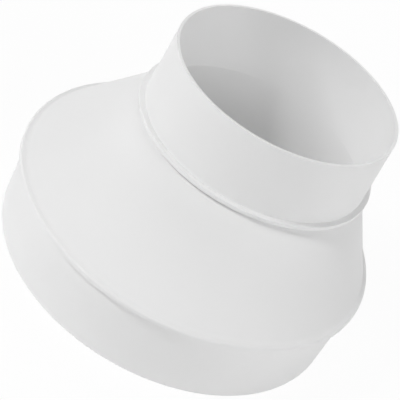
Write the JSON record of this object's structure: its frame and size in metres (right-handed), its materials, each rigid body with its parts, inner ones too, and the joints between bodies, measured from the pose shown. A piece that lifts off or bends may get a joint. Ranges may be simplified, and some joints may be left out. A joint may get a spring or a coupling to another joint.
{
  "type": "duct reducer",
  "caption": "Thin white plastic eccentric duct reducer: a slanting cone joins a wide round spigot to a narrow one flush along a side, with stop rings at their roots.",
  "frame": {"origin": "centre of the large spigot's mouth, on the plane the part stands on", "axes": "+Z along the large spigot's axis towards the small spigot; +X towards the side on which the two spigots are flush, to which the small spigot stands off; the XZ plane is the part's mirror plane"},
  "size_m": [0.1534, 0.1524, 0.0873],
  "materials": {
    "white_plastic": "satin white, as moulded"
  },
  "bodies": {
    "root": {"reducer_body": "white_plastic"}
  },
  "joints": []
}
